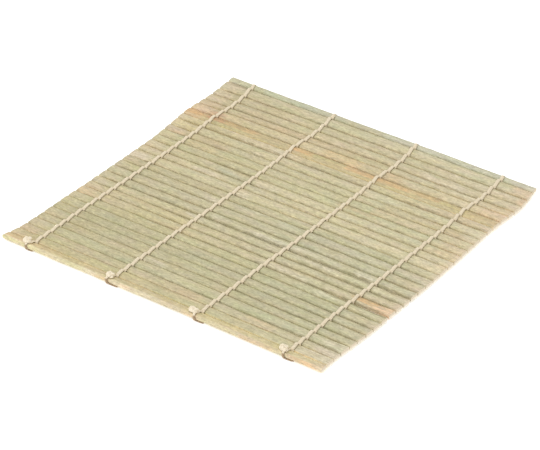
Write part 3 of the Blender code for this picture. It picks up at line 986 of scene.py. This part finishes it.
def below(verts, start, fade):
    """0 from this far above the splints on, growing to 1 below it."""
    return smooth((MID_Z + HALF_SLAT + start - verts[:, 2]) / fade)


def painted_light_in_gap(verts):
    """Painted light on the cotton where it dives into a gap, against the shade there."""
    stain_and_painted_light = np.tile(laid_over(*PAINTED_LIGHT_COTTON), (len(verts), 1))
    stain_and_painted_light[:, 3] *= below(verts, PAINTED_LIGHT_FROM, PAINTED_LIGHT_FADE)
    return stain_and_painted_light


def make_twine(twine):
    """Every length of one twine between the far loop and the knot."""
    # the two halves of each strand past each slat, and its length up to where the second starts
    halves, starts = {}, {}
    # strand a runs over the odd slats, strand b over the even ones
    for strand, odd in (("a", 1), ("b", -1)):
        run = 0.0
        for slat in range(1, SLATS + 1):
            path, size = strand_over(twine, slat, odd if slat % 2 else -odd)
            halves[strand, slat] = cut_at_middle(path, size)
            starts[strand, slat] = run + lengths_along(halves[strand, slat][0][0])[-1]
            run += lengths_along(path)[-1]
    for gap in range(1, SLATS):
        strands = []
        for strand in "ab":
            pairs = zip(halves[strand, gap][1], halves[strand, gap + 1][0])
            path, size = (np.concatenate((a, b[1:])) for a, b in pairs)
            strands.append({"path": path, "size": size, "start": starts[strand, gap]})
        obj = yarn_piece(f"twine_{twine}_gap_{gap:02d}", strands, painted_light_in_gap)
        y = gap_y(gap)
        y += float(bow(twine_x(twine, y), y)[0])
        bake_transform(obj)
    make_far_loop(twine, halves)
    make_knot(twine, halves, starts)


def make_far_loop(twine, halves):
    """Where the twine folds round the first slat: up its far face, slanting."""
    mid = middle_y(1)
    inner = BOXES[1][1].y - CORNER
    round_corner = CORNER + ROUND_EDGE[1] / 2 + HUG
    line = [(mid, -strand_height(-1)), (inner, -strand_height(-1))]
    for centre_z, degrees in ((CORNER - HALF_SLAT, (-60, -30, 0)), (HALF_SLAT - CORNER, (0, 30, 60))):
        for a in np.radians(degrees):
            line.append((inner + round_corner * math.cos(a), centre_z + round_corner * math.sin(a)))
    line += [(inner, strand_height(1)), (mid, strand_height(1))]
    line, share = strand_line(line, 4)
    x = twine_x(twine, mid) + SWING * np.sin(2 * math.pi * share)
    # over the first and the last quarter it comes to meet the strands of the first gap
    end_a = halves["a", 1][1][0][0]
    end_b = halves["b", 1][1][0][0]
    path = on_mat(x, line)
    pull = smooth(1 - share / 0.25)[:, None] * (end_b - path[0])
    path = path + pull + smooth((share - 0.75) / 0.25)[:, None] * (end_a - path[-1])
    flat = smooth((inner - line[:, 0]) / LOOP_FLATTENS)[:, None]
    wide = np.where(line[:, 1:] > 0, np.array(ON_TOP), np.array(UNDER))
    size = flat * wide + (1 - flat) * np.array(ROUND_EDGE)
    obj = yarn_piece(f"twine_{twine}_far_loop", [{"path": path, "size": size}])
    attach(obj, node_name(1))


def spline(points, step):
    """A smooth line through the points (Catmull-Rom), resampled."""
    p = np.asarray(points, float)
    p = np.concatenate(([2 * p[0] - p[1]], p, [2 * p[-1] - p[-2]]))
    out = []
    for a, b, c, d in zip(p, p[1:], p[2:], p[3:]):
        for t in np.linspace(0, 1, 12, endpoint=False):
            out.append(0.5 * (2 * b + (c - a) * t + (2 * a - 5 * b + 4 * c - d) * t**2
                              + (3 * b - a - 3 * c + d) * t**3))
    out.append(p[-2])
    return resample(smoothed(out, 2), step)[0]


def knot_tone_and_shade(verts):
    """The knots' cotton is whiter than the rest, with painted shade low down, under the knot and down the
    mat's front.
    """
    clean, shaded = laid_over(*KNOT_COTTON), laid_over(*PAINTED_SHADE_COTTON)
    # painted shade below the top of the splints
    return clean + below(verts, PAINTED_SHADE_FROM, PAINTED_SHADE_FADE)[:, None] * (shaded - clean)


def strand_into_knot(over, knot):
    """From mid-slat over the last splint and left into the knot."""
    path, size = over
    step = knot - path[0]
    route = [
        path[0],
        path[0] + step * (0.3, 0.1, 0.05),
        path[0] + step * (0.65, 0.5, 0.4),
        knot + (0.3 * MM, 0, 0),
    ]
    path = spline(route, RING_STEP)
    share = smooth(2 * np.linspace(0, 1, len(path)))[:, None]
    return {"path": path, "size": (1 - share) * size[0] + share * np.array(ROUND_STRAND)}


def front_strand(twine, under, x_twine, front, knot):
    """From mid-slat under the last splint, out in front, along its foot and up to the knot."""
    path, size = under
    top, low = MID_Z + HALF_SLAT, MID_Z - HALF_SLAT
    lowest = MID_Z - strand_height(-1)
    reach = CORNER + UNDER[1] / 2 + HUG
    inner = front + CORNER
    aside = FRONT_ASIDE_MM[twine - 1] * MM
    x = knot[0] + aside
    foot = FOOT_MM[twine - 1] * MM
    route = [
        path[0],
        (x_twine + 0.65 * foot, inner + 1.1 * MM, lowest),
        (x_twine + foot, front + 1.1 * MM, lowest),
        (x_twine + 0.6 * foot, front + 0.75 * MM, lowest),
        (x + 1.8 * MM, front + 0.6 * MM, lowest),
        (x + FRONT_SLANT, inner - 0.7 * reach, low + CORNER - 0.7 * reach),
        (x + 0.7 * FRONT_SLANT, inner - reach, low + CORNER + 0.1 * MM),
        (x + 0.4 * FRONT_SLANT, inner - reach, MID_Z + 0.1 * MM),
        (x, inner - reach, top - CORNER),
        (x, inner - 0.55 * reach, top - CORNER + 0.95 * reach),
        knot + (0.5 * aside, -0.9 * MM, -0.2 * MM),
    ]
    path = spline(route, RING_STEP)
    # a spline sags between its points: kept off the floor that the mat lies on
    path[:, 2] = np.maximum(path[:, 2], lowest)
    round_up = smooth((path[:, 2] - lowest) / FRONT_ROUNDS)[:, None]
    return {"path": path, "size": (1 - round_up) * size[0] + round_up * np.array(ROUND_STRAND)}


def knot_wraps(knot, rng):
    """The wraps of the knot: a small trefoil, flattened and tipped towards the front or back."""
    phi = np.linspace(0, 2 * math.pi, 90)
    out = WRAP_RING + WRAP_LOBE * np.cos(3 * phi)
    loop = (out * np.cos(2 * phi), out * np.sin(2 * phi), -WRAP_LOBE * np.sin(3 * phi))
    loop = np.stack(loop, 1) * WRAP_STRETCH
    turn = Matrix.Rotation(rng.uniform(0, 2 * math.pi), 3, "Z")
    tip = Matrix.Rotation(math.radians(rng.uniform(-WRAP_TIP_DEGREES, WRAP_TIP_DEGREES)), 3, "X")
    loop = loop @ np.array(tip @ turn).T
    loop[:, 0] *= WRAP_LONGER
    path = resample(loop + knot, RING_STEP)[0]
    return {"path": path, "size": np.tile(WRAP_YARN, (len(path), 1)), "side_hint": (0, 0, 1)}


def knot_core(knot):
    """The yarn inside the knot, an egg that lies along X."""
    share = np.linspace(-1, 1, 12)[:, None]
    size = np.sqrt(1 - (0.97 * share) ** 2) * CORE_YARN
    return {"path": knot + CORE_HALF * share * (1, 0.15, 0.1), "size": size, "side_hint": (0, 1, 0)}


def knot_tail(knot, way, rng):
    """A cut end that sticks out of the knot."""
    way = way + rng.uniform(-TAIL_ASIDE, TAIL_ASIDE, 3)
    route = [knot + (0.2 * MM, 0, 0), knot + way * 0.6 * MM, knot + (way + (-0.3, 0.1, -0.3)) * MM]
    path = spline(route, RING_STEP)
    return {"path": path, "size": np.tile(TAIL_YARN, (len(path), 1)), "side_hint": (0, 1, 0)}


def make_knot(twine, halves, starts):
    """The last stretch over the near slat, the front strand and the overhand knot on top."""
    rng = np.random.default_rng(KNOT_SEED + twine)
    edge = BOXES[SLATS][0].y
    x_twine = float(twine_x(twine, edge))
    front = edge + float(bow(x_twine, edge)[0])
    x_knot = x_twine - KNOTS_ASIDE_MM[twine - 1] * MM
    knot = np.array((x_knot, front + KNOT_FROM_EDGE, MID_Z + HALF_SLAT + KNOT_HEIGHT))
    over = strand_into_knot(halves["a", SLATS][1], knot)
    under = front_strand(twine, halves["b", SLATS][1], x_twine, front, knot)
    strands = [{**over, "start": starts["a", SLATS]}, {**under, "start": starts["b", SLATS]}]
    strands += [knot_wraps(knot, rng), knot_core(knot)]
    strands += [knot_tail(knot, way, rng) for way in TAIL_WAYS]
    obj = yarn_piece(f"twine_{twine}_knot", strands, knot_tone_and_shade)
    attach(obj, node_name(SLATS))
    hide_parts(f"twine_{twine}")


# Camera, floor and light


# Fitted to the mat's corners, twines and knots in the photograph: where the camera stands, where it
# looks, how it is rolled, in degrees, and its lens
CAMERA_PLACE = (0.88058, -1.1577, 0.96282)
CAMERA_LOOKS = (-0.50534, 0.66116, -0.55453)
CAMERA_ROLL = -1.532
SENSOR, LENS = 36, 176.05
FLOOR_HALF = 6.0
LAMP_PLACE = (-0.62, -0.36, 1.35)
LAMP_SIZE, LAMP_POWER = 1.6, 6.5


def make_camera():
    """The photograph's view."""
    camera = bpy.data.cameras.new("camera")
    camera.sensor_fit = "HORIZONTAL"
    camera.sensor_width = SENSOR
    camera.lens = LENS
    camera.clip_start, camera.clip_end = 0.1, 100
    obj = add_object("camera", camera)
    looks = Vector(CAMERA_LOOKS).normalized()
    right = looks.cross(Vector((0, 0, 1))).normalized()
    up = right.cross(looks)
    roll = math.radians(CAMERA_ROLL)
    side = math.cos(roll) * right + math.sin(roll) * up
    over = -math.sin(roll) * right + math.cos(roll) * up
    turn = Matrix((side, over, -looks)).transposed()
    obj.matrix_world = Matrix.Translation(Vector(CAMERA_PLACE)) @ turn.to_4x4()
    bpy.context.scene.camera = obj


def make_floor():
    """A plain pale floor that glows a little, as the photograph's white ground does."""
    corners = [(x * FLOOR_HALF, y * FLOOR_HALF, 0) for x, y in ((-1, -1), (1, -1), (1, 1), (-1, 1))]
    floor = mesh_object("floor", corners, [(0, 1, 2, 3)], False)
    floor.data.materials.append(Nodes("floor_white").finish({
        "Base Color": (0.9, 0.9, 0.9, 1),
        "Roughness": 1.0,
        "Specular IOR Level": 0.0,
        "Emission Color": (1, 1, 1, 1),
        "Emission Strength": 0.36,
    }))


def make_light():
    """Even white light from all around and a soft lamp from the front left."""
    world = bpy.data.worlds.new("studio")
    bpy.context.scene.world = world
    world.use_nodes = True
    background = world.node_tree.nodes["Background"]
    background.inputs["Color"].default_value = (1, 1, 1, 1)
    background.inputs["Strength"].default_value = 1.0
    lamp = bpy.data.lights.new("key", "AREA")
    lamp.shape = "DISK"
    lamp.size = LAMP_SIZE
    lamp.energy = LAMP_POWER
    obj = add_object("key", lamp)
    obj.location = LAMP_PLACE
    obj.rotation_euler = (-Vector(LAMP_PLACE)).to_track_quat("-Z", "Y").to_euler()


make_camera()
make_floor()
make_light()
bpy.context.scene.view_settings.view_transform = "Standard"
bpy.context.scene.view_settings.look = "None"

for number in BOXES:
    make_splint(number)
for number in range(1, TWINES + 1):
    make_twine(number)
